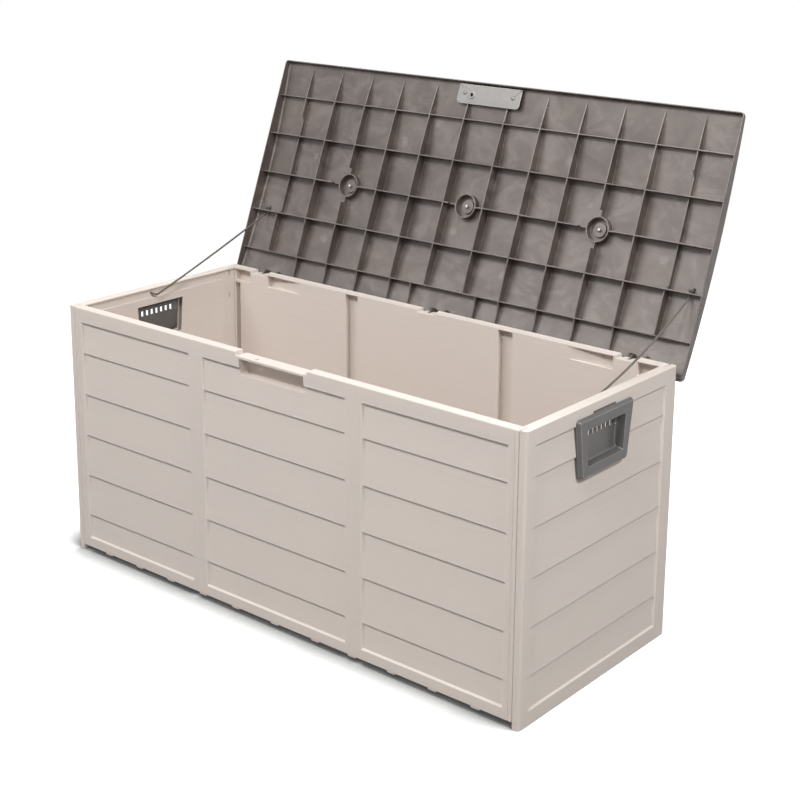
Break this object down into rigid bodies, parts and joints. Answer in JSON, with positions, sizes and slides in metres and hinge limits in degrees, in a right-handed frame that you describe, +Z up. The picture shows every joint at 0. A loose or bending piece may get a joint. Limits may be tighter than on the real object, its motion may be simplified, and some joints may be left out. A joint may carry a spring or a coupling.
{
  "type": "storage bench",
  "caption": "Knock-down resin outdoor storage bench with horizontal siding panels, side cup handles and a ribbed lift-up seat lid held open by two stay cords.",
  "frame": {"origin": "centre of the box's footprint on the ground, the bottom of the middle floor foot", "axes": "+X along the length, to the right seen from the front; +Y to the back, where the hinges are; +Z up"},
  "size_m": [1.12, 0.6374, 0.9403],
  "materials": {
    "resin_beige": "matt moulded wood grain",
    "resin_brown": "satin, glossy underside",
    "resin_dark": "fine satin",
    "resin_grey": "satin",
    "pin_metal": "plain",
    "screw_metal": "plain",
    "cord": "braided"
  },
  "bodies": {
    "box": {"front_panel": "resin_beige", "back_panel": "resin_beige", "right_end_panel": "resin_beige", "left_end_panel": "resin_beige", "floor_panel": "resin_beige", "right_handle": "resin_dark", "left_handle": "resin_dark", "hinge_pin_left": "pin_metal", "hinge_pin_centre": "pin_metal", "hinge_pin_right": "pin_metal", "left_stay_cord": "cord", "right_stay_cord": "cord", "knot_left_box": "cord", "knot_right_box": "cord"},
    "lid": {"lid": "resin_brown", "lid_pull_plate": "resin_grey", "plate_screw_left": "screw_metal", "plate_screw_right": "screw_metal", "knot_left_lid": "cord", "knot_right_lid": "cord"}
  },
  "joints": [
    {"name": "lid_hinge", "type": "hinge", "parent": "box", "child": "lid", "pos_m": [0, 0.22865, 0.49965], "axis": [1, 0, 0], "range_deg": [0, 110.5], "deforming": ["left_stay_cord", "right_stay_cord"]}
  ]
}
